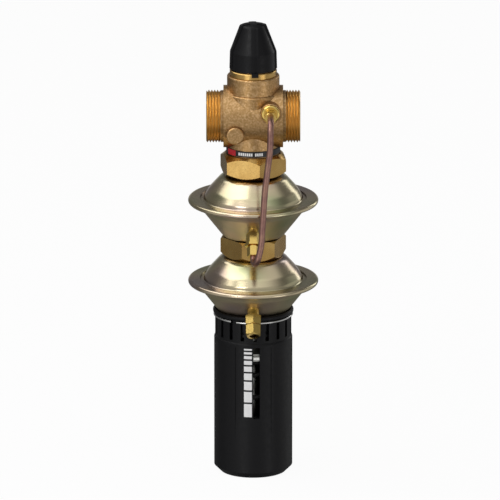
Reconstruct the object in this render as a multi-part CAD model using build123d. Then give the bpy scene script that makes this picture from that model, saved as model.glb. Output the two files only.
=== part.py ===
from build123d import *
import math
import os

# A self-acting differential pressure regulator, standing on its setting handle. Millimetres, +Z up.
# The origin is the centre of the handle's flat foot, +X runs along the pipe and -Y is the front.

# Fits and gaps
fit_gap = 0.05
slide_gap = 0.1
turning_gap = 0.4
rod_clear = 0.6
small_chamfer = 0.6
edge_chamfer = 1.0
far = 200.0

# Setting handle
handle_radius = 31.3
handle_height = 113.3
handle_wall = 3.3
handle_floor = 4.0
handle_chamfer = 5.0
shoulder_rounding = 2.4
panel_depth = 0.5
panel_half_angle = 27.6
panel_count = 6
panel_below_top = 4.0
panel_full_depth = 60.0
panel_fade = 27.3
window_left = -0.1
window_right = 5.2
window_low = 50.5
window_below_top = 3.7
key_count = 3
key_width = 3.0
key_height = 1.8
key_root = 1.0
key_turn = 60.0

# Fingers of the handle and the wire round them
finger_radius = 30.5
finger_height = 17.7
finger_root = 5.0
finger_hook = 0.8
finger_hook_height = 2.0
hook_below_top = 8.7
hook_gap = 0.2
finger_slots = 19
finger_slot_width = 3.0
finger_slot_length = 16.4
finger_slot_turn = 2.5
wire_radius = 0.85
wire_groove = 0.4
wire_below_top = 1.1
wire_opening = 9.0
wire_opening_turn = -120.0

# Collar under the lower housing
bead_radius = 32.2
bead_height = 3.6
bead_rounding = 1.5
bead_lip = 1.6
collar_floor = 3.5
collar_skirt = 7.5
collar_wall = 2.4
hub_head = 17.0
hub_head_height = 2.0
hub_radius = 13.9
hub_length = 13.5
hub_bore = 6.4
collar_nut_across = 38.0
collar_nut_height = 6.0
collar_nut_top_chamfer = (21.0, 0.6)
collar_nut_foot_chamfer = (19.0, 1.2)

# Diaphragm housings, heights above the bottom of the bowl
bowl_above_fingers = -2.9
middle_nut_height = 16.3
housing_height = 50.0
rim_low = 27.3
rim_height = 4.0
rim_radius = 52.0
rim_inner = 42.7
sheet = 1.0
bowl_flat = 23.8
bowl_waist = (40.2, 21.2)
bowl_mouth = 42.5
mouth_drop = 1.8
mouth_flare = 0.6
bowl_bends = [5.0, 8.0, 2.0, 1.5]
rim_bends = [1.9, 1.9]
dome_flat = 25.6
dome_waist = 35.4
dome_waist_share = 0.5584
dome_edge = (38.7, 3.2)
dome_foot = 39.6
dome_bends = [7.0, 12.0, 4.0, 1.5]
diaphragm = 1.0
flange_clear = 1.2

# Diaphragm plates and rods
plate_radius = 29.0
plate_thickness = 1.5
plate_lip = 1.2
plate_lip_height = 3.0
plate_lip_wall = 1.0
plate_bend = 0.4
loop_start = 1.9
loop_radius = 4.0
rod_radius = 4.0
coupling_across = 17.0
coupling_height = 12.0
coupling_top_chamfer = (9.0, 0.6)
coupling_foot_chamfer = (8.6, 0.8)
stem_shoulder = 1.5
stem_shoulder_height = 2.0
stem_thread_step = 1.0
stop_radius = 7.0
stop_gap = 0.3

# Flow spring under the upper diaphragm
flow_spring_radius = 20.5
flow_spring_wire = 1.5
flow_spring_turns = 4

# Connection necks and union nuts
neck_radius = 16.9
neck_flange = 19.8
neck_flange_height = 2.5
neck_head = 16.5
neck_head_height = 1.5
neck_spigot = 13.9
bush_radius = 7.0
bush_height = 8.0
seal_height = 4.0
gasket_height = 1.5
nut_lip = 3.3
nut_gap = 0.2
thread_radius = 20.4
upper_plug = 14.8
upper_plug_height = 8.5
upper_nut_across = 48.0
upper_nut_height = 18.7
upper_nut_turn = 10.8
upper_nut_top_chamfer = (22.5, 4.5)
upper_nut_foot_chamfer = (21.2, 5.0)
middle_nut_across = 46.0
middle_nut_turn = 39.8
middle_nut_top_chamfer = (24.6, 1.6)
middle_nut_foot_chamfer = (22.4, 4.0)
middle_thread_radius = 19.4
middle_plug = 12.0
middle_plug_height = 6.0
neck_passage = 2.0

# Valve body, heights above or below the pipe axis
pipe_above_cover = 48.5
barrel_radius = 24.9
barrel_half = 23.8
barrel_underside = 23.9
shoulder_radius = 20.7
shoulder_width = 2.2
pipe_thread_radius = 20.955
face_to_face = 75.0
thread_chamfer = 1.0
port_bore = 13.5
port_depth = 20.0
collar_radius = 22.5
collar_top = 20.6
top_neck_radius = 20.9
top_neck_height = 34.4
cast_rounding = 1.2
lower_neck_radius = 21.0
lower_neck_depth = 29.4
spigot_depth = 41.0
lower_bore = 15.0
top_bore = 15.5
web_half = 9.5
seat_bore = 12.5
passage_width = 22.0
passage_height = 12.0
passage_start = (25.0, 5.0)
passage_end = (10.0, 20.0)
blank_boss = (-14.5, -9.3)
blank_boss_radius = 7.0
blank_boss_face = 28.0
tapped_boss = (13.8, 9.2)
tapped_boss_radius = 8.0
tapped_boss_face = 27.0
tapping_depth = 8.0
tapping_wall = 2.5
tapping_channel = 2.0
band_thickness = 0.6
band_height = 4.6
band_drop = 0.1

# Seat and cone
seat_hole = 8.5
seat_length = 6.5
seat_lip = 0.8
seat_lip_height = 0.8
seat_ring_height = 2.2
cone_open = 5.05
cone_seal_thickness = 1.5
cone_seal_radius = 9.6
cone_radius = 9.9
cone_height = 3.2
cone_edge_share = 0.6
cone_taper = 2.5
cone_nut_across = 10.0
cone_nut_height = 2.5

# Restrictor under the cap
throttle_radius = 11.9
throttle_wall = 2.0
throttle_skirt = 2.0
throttle_plate = 3.0
throttle_open = 17.0
throttle_hub_across = 16.0
throttle_hub_height = 13.5
bonnet_radius = 18.8
bonnet_height = 4.5
bonnet_spigot = 11.4
bonnet_ring_depth = 5.4
bonnet_hub = 15.6
bonnet_hub_height = 7.0
bonnet_boss = 9.0
bonnet_boss_height = 5.0
hex_recess_height = 13.2
spindle_collar = 6.0
spindle_collar_height = 2.5
clip_height = 1.2
clip_clear = 0.3
clip_mouth = 2.4
spindle_end = 13.5
spindle_head_across = 8.0
spindle_head_height = 11.0
spindle_throat = 1.0
spindle_slot = (1.2, 1.5)
spindle_ring_depth = 4.0
ring_section = 1.2
ring_squeeze = 0.9

# Cap
cap_gap = 0.7
cap_radius = 18.5
cap_waist = (18.1, 14.3)
cap_tip = (10.5, 34.6)
cap_height = 37.4
cap_rib = 5.6
cap_turn = 4.0
cap_recess = 0.9
cap_wall = 1.7
cap_tab = 0.4
cap_roof = 2.6
cap_tip_share = 0.4
cap_top_share = 0.6
cap_bulge = 0.72

# Impulse tube and its fittings
tube_radius = 2.5
tube_bore = 1.5
tube_slope = 40.0
tap_above_bowl = 12.8
tap_reach = 34.6
tap_inside = 2.5
tube_start = 9.0
joint_nipple = 3.7
joint_nipple_length = 2.2
joint_body_across = 9.8
joint_body_length = 9.2
joint_flange_across = 11.6
joint_flange_height = 1.9
joint_nose_wall = 0.85
joint_nose_length = 3.8
joint_gap = 0.6
joint_nut_across = 8.7
joint_nut_length = 8.4
joint_nut_bore = 4.9
joint_chamfer = 0.7
ferrule_length = 1.4
ferrule_taper = 0.8
body_flange = (7.4, 2.6)
body_flange_rounding = 1.6
body_shank = (5.6, 6.0)
body_tube_depth = 3.0
outer_bore = 3.05
outer_channel = 2.0
outer_nipple = 4.8
outer_nipple_length = 4.0
outer_body_across = 12.0
outer_body_length = 8.3
outer_nut_across = 11.4
outer_nut_length = 9.2
outer_thread_wall = 1.3
outer_thread_end = 4.2
outer_bore_depth = 12.0
outer_nut_seat = 2.4
outer_nut_gap = 0.4
outer_chamfer = 0.8
outer_mouth_chamfer = (5.0, 1.4)
outer_back_chamfer = (6.0, 0.5)
outer_ferrule_wall = (0.4, 1.2)

# Route of the impulse tube, from the housing's tap to the body's: places across, forward and up
route_drop = 27.0
route_front = 63.8
route_low_side = 2.6
route_rise = (6.4, 63.0, 16.4)
route_middle = (9.2, 61.0, -45.0)
route_high = (13.4, 59.0, -12.0)
route_bend = 58.0
route_bends = [8.0, 8.0, 60.0, 150.0, 80.0, 8.0]

# Setting mechanism in the handle
spindle_radius = 6.0
spindle_foot = 13.3
nut_below_top = 16.0
nut_height = 6.0
nut_hub_radius = 10.0
nut_hub_height = 4.0
marker_width = 4.7
marker_height = 2.0
marker_drop = 1.9
marker_tail = 3.0
marker_set_back = 0.6
spring_wire = 2.0
spring_radius = 20.0
spring_turns = 6
washer_height = 1.2
washer_inner = 14.0
washer_margin = 2.0

# Heights worked out from the values above
finger_top = handle_height + finger_height
nut_rest = handle_height - nut_below_top
hook_high = finger_top - hook_below_top
panel_top = handle_height - panel_below_top
window_high = handle_height - window_below_top
wire_height = finger_top - wire_below_top
bowl_bottom = finger_top + bowl_above_fingers
housing_pitch = housing_height + middle_nut_height + 2 * nut_gap
cover_top = bowl_bottom + housing_height
upper_shift = housing_pitch
upper_bowl_bottom = bowl_bottom + housing_pitch
upper_cover_top = cover_top + housing_pitch
pipe = upper_cover_top + pipe_above_cover
half_length = face_to_face / 2
joint_plane = bowl_bottom + rim_low + sheet
collar_underside = bowl_bottom - collar_floor
bead_low = finger_top + turning_gap
handle_inner = handle_radius - handle_wall
tapping_radius = tube_radius + tapping_wall
nose_radius = tube_radius + joint_nose_wall
stem_thread = rod_radius - stem_thread_step
slope = math.radians(tube_slope)
tap_direction = Vector(0, -math.sin(slope), -math.cos(slope))


def turned(*points):
    """A solid turned about Z from (radius, height) corners."""
    return revolve(Plane.XZ * make_face(Polyline(*points, close=True)), Axis.Z)


def disc(radius, low, high):
    """A plain cylinder about Z between two heights."""
    return Pos(0, 0, low) * extrude(Circle(radius), amount=high - low)


def ring(inner, outer, low, high):
    """A plain tube about Z between two heights."""
    return Pos(0, 0, low) * extrude(Circle(outer) - Circle(inner), amount=high - low)


def hexagon(across, low, high, turn=0.0):
    """A hexagonal bar about Z, measured across its flats."""
    outline = RegularPolygon(radius=across / 2, side_count=6, major_radius=False)
    return Pos(0, 0, low) * extrude(Rot(0, 0, turn) * outline, amount=high - low)


def hex_nut(across, low, high, top, foot, turn):
    """A hexagon with turned chamfers; top and foot give the end radius and the chamfer's height."""
    corner = across / math.sqrt(3) + fit_gap
    envelope = turned(
        (0, low), (foot[0], low), (corner, low + foot[1]),
        (corner, high - top[1]), (top[0], high), (0, high))
    return hexagon(across, low, high, turn) & envelope


def coil(radius, wire, low, high, turns):
    """An open coil whose wire touches the heights low and high."""
    rise = high - low - 2 * wire
    path = Pos(0, 0, low + wire) * Helix(pitch=rise / turns, height=rise, radius=radius)
    section = Plane(origin=path @ 0, z_dir=path % 0) * Circle(wire)
    return sweep(section, path=path)


def shell(corners, bends, side):
    """A pressed sheet turned about Z from the corners and bend radii of its outer line."""
    line = FilletPolyline(*corners, radius=bends)
    section = make_face(offset(line, amount=sheet, side=side, closed=True)).face()
    return revolve(Plane.XZ * section, Axis.Z)


def along_tap(shift):
    """The frame of a housing tap: its origin on the bowl, its Z pointing out and down."""
    origin = Vector(0, -tap_reach, bowl_bottom + shift + tap_above_bowl)
    return Plane(origin=origin, x_dir=(1, 0, 0), z_dir=tap_direction)


# Valve body

def passage(side):
    """The oblique cored way from a port to the chamber above or below the web."""
    start = Vector(side * passage_start[0], 0, side * passage_start[1])
    end = Vector(side * passage_end[0], 0, side * passage_end[1])
    way = Plane(origin=start, x_dir=(0, 1, 0), z_dir=end - start)
    return extrude(way * SlotOverall(passage_width, passage_height), amount=(end - start).length)


def valve_body():
    thread_start = barrel_half + shoulder_width
    barrel = extrude(Plane.YZ * Circle(barrel_radius), amount=barrel_half, both=True)
    barrel -= Pos(0, 0, -barrel_underside - barrel_radius) * Box(far, far, 2 * barrel_radius)
    ends = extrude(Plane.YZ * Circle(shoulder_radius), amount=thread_start, both=True)
    threads = extrude(Plane.YZ * Circle(pipe_thread_radius), amount=half_length, both=True)
    threads = chamfer(threads.edges().filter_by(GeomType.CIRCLE), thread_chamfer)
    threads -= Box(2 * thread_start, far, far)
    neck = disc(top_neck_radius, 0, top_neck_height)
    neck = fillet(neck.edges().group_by(Axis.Z)[-1], cast_rounding)
    collar = disc(collar_radius, 0, collar_top)
    collar = fillet(collar.edges().group_by(Axis.Z)[-1], cast_rounding)
    foot = disc(lower_neck_radius, -lower_neck_depth, 0)
    spigot = disc(thread_radius, -spigot_depth, -lower_neck_depth)
    spigot = chamfer(spigot.edges().group_by(Axis.Z)[0], thread_chamfer)
    body = barrel + ends + threads + neck + collar + foot + spigot
    for place, radius, face in (
            (blank_boss, blank_boss_radius, blank_boss_face),
            (tapped_boss, tapped_boss_radius, tapped_boss_face)):
        boss = extrude(Plane.XZ * Circle(radius), amount=face)
        boss = fillet(boss.edges().sort_by(Axis.Y)[0], cast_rounding)
        body += Pos(place[0], 0, place[1]) * boss
    for side in (-1, 1):
        bore = extrude(Plane.YZ * Circle(port_bore), amount=port_depth)
        body -= Pos(side * (half_length - (port_depth if side > 0 else 0)), 0, 0) * bore
        body -= passage(side)
    body -= disc(lower_bore, -spigot_depth, -web_half)
    body -= disc(seat_bore, -web_half, web_half)
    body -= disc(top_bore, web_half, top_neck_height)
    tapping = extrude(Plane.XZ * Circle(tapping_radius), amount=tapping_depth)
    channel = extrude(Plane.XZ * Circle(tapping_channel), amount=tapped_boss_face)
    body -= Pos(tapped_boss[0], tapping_depth - tapped_boss_face, tapped_boss[1]) * tapping
    body -= Pos(tapped_boss[0], 0, tapped_boss[1]) * channel
    return Pos(0, 0, pipe) * body


def label_band():
    high = pipe - barrel_underside - band_drop
    return ring(lower_neck_radius, lower_neck_radius + band_thickness, high - band_height, high)


def seat_insert():
    low = pipe - web_half
    high = low + seat_length
    seat = ring(seat_hole, seat_bore - fit_gap, low, high)
    lip = ring(seat_hole, seat_hole + seat_lip, high, high + seat_lip_height)
    groove_low = low + seat_ring_height
    return seat + lip - ring(seat_bore - ring_section, seat_bore, groove_low, groove_low + 2 * ring_section)


def o_ring(outer, section, middle):
    """A rubber ring squeezed into its groove, whose outside has the given radius."""
    half = ring_squeeze * section
    return ring(outer - section, outer, middle - half, middle + half)


# Restrictor under the cap

def restrictor_bonnet():
    seat = pipe + top_neck_height
    flange = disc(bonnet_radius, seat, seat + bonnet_height)
    flange = chamfer(flange.edges().group_by(Axis.Z)[-1], small_chamfer)
    spigot = disc(top_bore - fit_gap, seat - bonnet_spigot, seat)
    groove = seat - bonnet_ring_depth
    spigot -= ring(top_bore - ring_section, top_bore, groove, groove + 2 * ring_section)
    hub_top = seat + bonnet_height + bonnet_hub_height
    hub = disc(bonnet_hub, seat, hub_top)
    hub = chamfer(hub.edges().group_by(Axis.Z)[-1], edge_chamfer)
    boss = disc(bonnet_boss, hub_top, hub_top + bonnet_boss_height)
    recess = hexagon(
        throttle_hub_across + 2 * slide_gap, seat - bonnet_spigot, seat - bonnet_spigot + hex_recess_height)
    bore = disc(rod_radius + fit_gap, seat, hub_top)
    pocket = disc(spindle_collar + fit_gap, hub_top, hub_top + bonnet_boss_height)
    gland_low = hub_top - spindle_ring_depth
    gland = disc(rod_radius + ring_section, gland_low, gland_low + 2 * ring_section)
    return flange + spigot + hub + boss - recess - bore - pocket - gland


def spindle_levels():
    """The heights of the pocket's floor, the clip's underside and the top of the boss."""
    floor = pipe + top_neck_height + bonnet_height + bonnet_hub_height
    return floor, floor + spindle_collar_height + slide_gap, floor + bonnet_boss_height


def restrictor_spindle():
    floor, clip, boss_top = spindle_levels()
    stem = disc(rod_radius, pipe + spindle_end, floor + fit_gap)
    collar = disc(spindle_collar, floor + fit_gap, clip - fit_gap)
    head_low = boss_top + spindle_throat
    head_top = head_low + spindle_head_height
    throat = disc(rod_radius, clip - fit_gap, head_low)
    head = hexagon(spindle_head_across, head_low, head_top)
    head = chamfer(head.edges().group_by(Axis.Z)[-1], small_chamfer)
    slot = Pos(0, 0, head_top) * Box(spindle_slot[0], far, 2 * spindle_slot[1])
    return stem + collar + throat + head - slot


def spindle_clip():
    clip = spindle_levels()[1]
    wire = ring(rod_radius + clip_clear, spindle_collar - slide_gap, clip, clip + clip_height)
    return wire - Pos(0, -spindle_collar, clip) * Box(clip_mouth, spindle_collar, 4 * clip_height)


def throttle_sleeve():
    low = pipe + throttle_open
    plate = low + throttle_skirt
    top = plate + throttle_plate
    cup = disc(throttle_radius, low, top) - disc(throttle_radius - throttle_wall, low, plate)
    hub = hexagon(throttle_hub_across, top, top + throttle_hub_height)
    return cup + hub - disc(rod_radius + slide_gap, low, top + throttle_hub_height)


def cap_outline(step, low):
    """The cap's outer form, set back by the given step, from its lower edge to the dome."""
    waist = (cap_waist[0] - step, cap_waist[1])
    tip = (cap_tip[0] - step, cap_tip[1] - cap_tip_share * step)
    top = cap_height - cap_top_share * step
    bulge = (cap_bulge * tip[0], tip[1] + cap_bulge * (top - tip[1]))
    edges = [
        Line((0, low), (cap_radius - step, low)),
        Line((cap_radius - step, low), waist),
        Line(waist, tip),
        Spline(tip, bulge, (0, top), tangents=[(tip[0] - waist[0], tip[1] - waist[1]), (-1, 0)]),
        Line((0, top), (0, low))]
    return revolve(Plane.XZ * make_face(Wire([edge.edge() for edge in edges])), Axis.Z)


def restrictor_cap():
    low = pipe + top_neck_height + bonnet_height + cap_gap
    panels = cap_outline(cap_recess, 0)
    ribs = cap_outline(0, 0)
    reach = 4 * cap_radius
    cross = Box(cap_rib, reach, 4 * cap_height) + Box(reach, cap_rib, 4 * cap_height)
    cap = panels + (ribs & cross)
    tab = Pos(0, -cap_radius + cap_wall / 2 + cap_recess, 0) * Box(cap_rib, cap_wall, 2 * cap_tab)
    cap += tab
    roof = disc(cap_radius, cap_height - cap_roof, cap_height)
    cap -= cap_outline(cap_recess + cap_wall, -cap_wall) - roof
    return Pos(0, 0, low) * Rot(0, 0, cap_turn) * cap


# Cone and rods

def cone_seat_level():
    """The underside of the cone's seal when the valve is open."""
    return pipe - web_half + seat_length + seat_lip_height + cone_open


def cone_seal():
    low = cone_seat_level()
    return ring(rod_radius + fit_gap, cone_seal_radius, low, low + cone_seal_thickness)


def valve_cone():
    low = cone_seat_level() + cone_seal_thickness
    cone = turned(
        (rod_radius + fit_gap, low), (cone_radius, low), (cone_radius, low + cone_edge_share * cone_height),
        (cone_radius - cone_taper, low + cone_height), (rod_radius + fit_gap, low + cone_height))
    return cone


def cone_nut():
    low = cone_seat_level() + cone_seal_thickness + cone_height
    high = low + cone_nut_height
    return hexagon(cone_nut_across, low, high) - disc(stem_thread, low, high)


def valve_stem():
    low = cone_seat_level()
    top = low + cone_seal_thickness + cone_height
    foot = joint_plane + upper_shift - plate_thickness - coupling_height / 2
    shank = disc(rod_radius, foot, top)
    thread = disc(stem_thread - fit_gap, top, top + cone_nut_height)
    shoulder = disc(rod_radius + stem_shoulder, low - stem_shoulder_height, low)
    return shank + thread + shoulder


def lower_stem():
    foot = joint_plane - plate_thickness - coupling_height / 2
    top = joint_plane + upper_shift - plate_thickness - coupling_height / 2
    return disc(rod_radius, foot, top)


def coupling_nut(shift):
    high = joint_plane + shift - plate_thickness
    low = high - coupling_height
    nut = hex_nut(coupling_across, low, high, coupling_top_chamfer, coupling_foot_chamfer, 0)
    return nut - disc(rod_radius + fit_gap, low, high)


def diaphragm_plate(shift, above):
    """A pressed plate whose rolled edge turns away from the diaphragm."""
    face = joint_plane + shift + (diaphragm if above else 0)
    way = 1 if above else -1
    edge = plate_radius + plate_lip
    lip_end = face + way * plate_lip_height
    back = face + way * plate_thickness
    return turned(
        (rod_radius + fit_gap, face), (plate_radius, face), (edge, face + way * plate_lip), (edge, lip_end),
        (edge - plate_lip_wall, lip_end), (plate_radius - plate_bend, back), (rod_radius + fit_gap, back))


def stop_sleeve():
    low = joint_plane + upper_shift + diaphragm + plate_thickness
    high = upper_cover_top - sheet - neck_head_height - stop_gap
    return ring(rod_radius + fit_gap, stop_radius, low, high)


def rolling_diaphragm(shift):
    """A rubber disc with one rolled loop between the clamped rim and the plates."""
    level = joint_plane + shift
    hole = rod_radius + fit_gap
    inner = plate_radius + loop_start
    middle = inner + loop_radius
    outer = middle + loop_radius
    thin = loop_radius - diaphragm
    rim = rim_radius - sheet - flange_clear
    high = level + diaphragm
    edges = [
        Line((hole, level), (inner, level)),
        ThreePointArc((inner, level), (middle, level - loop_radius), (outer, level)),
        Line((outer, level), (rim, level)),
        Line((rim, level), (rim, high)),
        Line((rim, high), (outer - diaphragm, high)),
        Line((outer - diaphragm, high), (outer - diaphragm, level)),
        ThreePointArc((outer - diaphragm, level), (middle, level - thin), (inner + diaphragm, level)),
        Line((inner + diaphragm, level), (inner + diaphragm, high)),
        Line((inner + diaphragm, high), (hole, high)),
        Line((hole, high), (hole, level))]
    return revolve(Plane.XZ * make_face(Wire([edge.edge() for edge in edges])), Axis.Z)


# Diaphragm housings

def housing_cover(shift):
    top = cover_top + shift
    foot = joint_plane + shift + diaphragm + sheet
    flange_end = rim_radius - sheet - flange_clear
    waist = top - dome_waist_share * (top - foot)
    corners = [
        (neck_spigot + fit_gap, top), (dome_flat, top), (dome_waist, waist),
        (dome_edge[0], foot + dome_edge[1]), (dome_foot, foot), (flange_end, foot)]
    return shell(corners, dome_bends, Side.RIGHT)


def bowl_corners(low):
    """The bowl's outer corners from its flat bottom to its mouth."""
    mouth = low + rim_low
    return [
        (bowl_flat, low), (bowl_waist[0], low + bowl_waist[1]), (bowl_mouth, mouth - mouth_drop),
        (bowl_mouth + mouth_flare, mouth)]


def housing_bowl(shift):
    low = bowl_bottom + shift
    rim = low + rim_low
    corners = [(neck_spigot + fit_gap, low)] + bowl_corners(low) + [
        (rim_radius, rim), (rim_radius, rim + rim_height), (rim_inner, rim + rim_height)]
    return shell(corners, bowl_bends + rim_bends, Side.LEFT)


def tapped_bowl(shift, nipple):
    """A bowl with the hole for its tap."""
    frame = along_tap(shift)
    return housing_bowl(shift) - frame * disc(nipple + fit_gap, -2 * tap_inside, 2 * tap_inside)


# Necks and union nuts

def connection_neck(shift, plug, plug_height):
    """The flanged tube that a union nut holds, riveted into the housing's cover."""
    top = cover_top + shift
    flange = top + nut_gap + nut_lip
    end = flange + neck_flange_height + plug_height
    head_low = seal_foot(shift)
    neck = disc(neck_radius, top, flange) + disc(neck_flange, flange, flange + neck_flange_height)
    neck += disc(plug, flange + neck_flange_height, end)
    neck += disc(neck_spigot, top - sheet, top) + disc(neck_head, head_low, top - sheet)
    neck -= disc(rod_radius + rod_clear, head_low, end)
    neck -= disc(bush_radius, end - bush_height, end)
    return neck - disc(bush_radius, head_low, head_low + seal_height)


def seal_foot(shift):
    return cover_top + shift - sheet - neck_head_height


def plug_top(shift, plug_height):
    return cover_top + shift + nut_gap + nut_lip + neck_flange_height + plug_height


def guide_bush(shift, plug_height):
    high = plug_top(shift, plug_height)
    return ring(rod_radius + slide_gap, bush_radius - fit_gap, high - bush_height, high)


def stem_seal(shift):
    low = seal_foot(shift)
    return ring(rod_radius + fit_gap, bush_radius - fit_gap, low, low + seal_height)


def neck_gasket(shift, plug):
    low = cover_top + shift + nut_gap + nut_lip + neck_flange_height
    return ring(plug + slide_gap, neck_flange - fit_gap, low, low + gasket_height)


def upper_union_nut():
    low = upper_cover_top + nut_gap
    high = low + upper_nut_height
    nut = hex_nut(
        upper_nut_across, low, high, upper_nut_top_chamfer, upper_nut_foot_chamfer, upper_nut_turn - 90)
    nut -= disc(neck_radius + slide_gap, low, high)
    return nut - disc(thread_radius + fit_gap, low + nut_lip, high)


def middle_union_nut():
    low = cover_top + nut_gap
    high = low + middle_nut_height
    nut = hex_nut(
        middle_nut_across, low, high, middle_nut_top_chamfer, middle_nut_foot_chamfer, middle_nut_turn - 90)
    nut -= disc(neck_radius + slide_gap, low, high)
    return nut - disc(neck_flange + fit_gap, low + nut_lip, high)


def upper_bowl_neck():
    low = cover_top + nut_gap + nut_lip + neck_flange_height + gasket_height
    high = upper_bowl_bottom
    neck = disc(middle_thread_radius, low, high) + disc(neck_spigot, high, high + sheet)
    neck += disc(neck_head, high + sheet, high + sheet + neck_head_height)
    bore = disc(middle_plug + slide_gap, low, low + middle_plug_height)
    return neck - bore - disc(rod_radius + neck_passage, low, high + sheet + neck_head_height)


# Collar under the lower housing

def spring_collar():
    outer = handle_inner - finger_hook - turning_gap
    skirt_low = collar_underside - collar_skirt
    high = bead_low + bead_height
    groove_low = hook_high - finger_hook_height - 2 * turning_gap
    skirt_outer = handle_inner - turning_gap
    profile = Polyline(
        (hub_radius + fit_gap, collar_underside), (skirt_outer - collar_wall, collar_underside),
        (skirt_outer - collar_wall, skirt_low), (skirt_outer, skirt_low),
        (skirt_outer, groove_low), (outer - hook_gap, groove_low), (outer - hook_gap, hook_high),
        (skirt_outer, hook_high), (skirt_outer, bead_low), (bead_radius, bead_low),
        (bead_radius, high), (bead_radius - bead_lip, high), (bowl_flat, bowl_bottom),
        (hub_radius + fit_gap, bowl_bottom), close=True)
    collar = revolve(Plane.XZ * make_face(profile), Axis.Z)
    rim = collar.edges().filter_by(GeomType.CIRCLE).sort_by(lambda edge: edge.radius)[-2:]
    collar = fillet(rim, bead_rounding)
    wall = FilletPolyline((0, bowl_bottom), *bowl_corners(bowl_bottom), radius=bowl_bends[:3])
    high = bowl_bottom + rim_low
    closing = Polyline(wall @ 1, (0, high), (0, bowl_bottom))
    bowl = revolve(Plane.XZ * make_face(wall.edges() + closing.edges()).face(), Axis.Z)
    return collar - bowl


def collar_hub():
    low = bowl_bottom + sheet
    hub = disc(hub_head, low, low + hub_head_height) + disc(hub_radius, low - hub_length, low)
    return hub - disc(hub_bore, low - hub_length, low + hub_head_height)


def collar_nut():
    low = collar_underside - collar_nut_height
    high = collar_underside
    nut = hex_nut(collar_nut_across, low, high, collar_nut_top_chamfer, collar_nut_foot_chamfer, 0)
    return nut - disc(hub_radius + fit_gap, low, high)


# Setting handle and what turns in it

def panel_cutter():
    """The band of six shallow flats round the handle, fading out towards the foot."""
    deep = handle_radius - panel_depth
    band = turned(
        (handle_radius, panel_fade), (deep, panel_full_depth), (deep, panel_top),
        (handle_radius + handle_wall, panel_top), (handle_radius + handle_wall, panel_fade))
    reach = 2 * handle_radius
    half = math.radians(panel_half_angle)
    wedge = Polyline(
        (0, 0), (-reach * math.sin(half), -reach * math.cos(half)),
        (reach * math.sin(half), -reach * math.cos(half)), close=True)
    sector = extrude(make_face(wedge), amount=handle_height)
    sectors = [Rot(0, 0, turn * 360 / panel_count) * sector for turn in range(panel_count)]
    return band & (Part() + sectors)


def finger_slots_cutter():
    """The slots between the fingers, open at the top."""
    reach = 2 * finger_radius
    slot = Pos(0, -reach / 2, finger_top) * Box(finger_slot_width, reach, 2 * finger_slot_length)
    step = 360 / finger_slots
    return [Rot(0, 0, finger_slot_turn + turn * step) * slot for turn in range(finger_slots)]


def setting_handle():
    outside = turned(
        (0, 0), (handle_radius - handle_chamfer, 0), (handle_radius, handle_chamfer),
        (handle_radius, handle_height), (0, handle_height))
    outside = fillet(outside.edges().group_by(Axis.Z)[-1], shoulder_rounding)
    outside -= panel_cutter()
    fingers = disc(finger_radius, handle_height - finger_root, finger_top)
    hollow = disc(handle_inner, handle_floor, finger_top)
    key = extrude(Rectangle(key_width, key_height + key_root), amount=window_high - handle_floor)
    key = Pos(0, -handle_inner + key_height / 2, handle_floor) * key
    hook_low = hook_high - turning_gap - finger_hook_height
    hooks = ring(handle_inner - finger_hook, handle_inner, hook_low, hook_low + finger_hook_height)
    wire_seat = ring(
        finger_radius - wire_groove, finger_radius + wire_radius, wire_height - wire_radius,
        wire_height + wire_radius)
    handle = outside + fingers - hollow
    handle += Part() + [Rot(0, 0, key_turn + turn * 360 / key_count) * key for turn in range(key_count)]
    handle += hooks
    handle -= wire_seat
    handle = handle - finger_slots_cutter()
    middle = (window_left + window_right) / 2
    window = Pos(middle, -handle_radius, (window_low + window_high) / 2) * Box(
        window_right - window_left, 3 * handle_wall, window_high - window_low)
    return handle - window


def retaining_ring():
    radius = finger_radius - wire_groove + wire_radius
    half = wire_opening / 2
    arc = CenterArc((0, 0, wire_height), radius, wire_opening_turn + half, 360 - wire_opening)
    section = Plane(origin=arc @ 0, z_dir=arc % 0) * Circle(wire_radius)
    return sweep(section, path=arc)


def thrust_washer():
    outer = spring_radius + spring_wire + washer_margin
    return ring(washer_inner, outer, handle_floor, handle_floor + washer_height)


def setting_spring():
    return coil(spring_radius, spring_wire, handle_floor + washer_height, nut_rest, spring_turns)


def marker_centre():
    """The middle of the marker, in the window and on the nut's rim."""
    high = nut_rest + nut_height - marker_drop
    return (window_left + window_right) / 2, high - marker_height / 2


def marker_block(width, height, inner, outer):
    across, up = marker_centre()
    return Pos(across, -(inner + outer) / 2, up) * Box(width, outer - inner, height)


def setting_nut():
    outer = handle_inner - turning_gap
    nut = disc(outer, nut_rest, nut_rest + nut_height)
    nut += disc(nut_hub_radius, nut_rest - nut_hub_height, nut_rest + nut_height)
    nut -= disc(spindle_radius + slide_gap, nut_rest - nut_hub_height, nut_rest + nut_height)
    keyway = Pos(0, -outer, nut_rest) * Box(
        key_width + 2 * turning_gap, 2 * (key_height + turning_gap), 3 * nut_height)
    nut -= [Rot(0, 0, key_turn + turn * 360 / key_count) * keyway for turn in range(key_count)]
    return nut - marker_block(
        marker_width + 2 * fit_gap, marker_height + 2 * fit_gap, outer - marker_tail, handle_radius)


def setting_marker():
    outer = handle_inner - turning_gap
    return marker_block(marker_width, marker_height, outer - marker_tail, handle_radius - marker_set_back)


def setting_spindle():
    top = joint_plane - plate_thickness - coupling_height
    rod = disc(spindle_radius, spindle_foot, top)
    rod = chamfer(rod.edges().group_by(Axis.Z)[0], edge_chamfer)
    return rod + disc(rod_radius, top, top + coupling_height / 2)


# Impulse tube and its fittings

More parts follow.
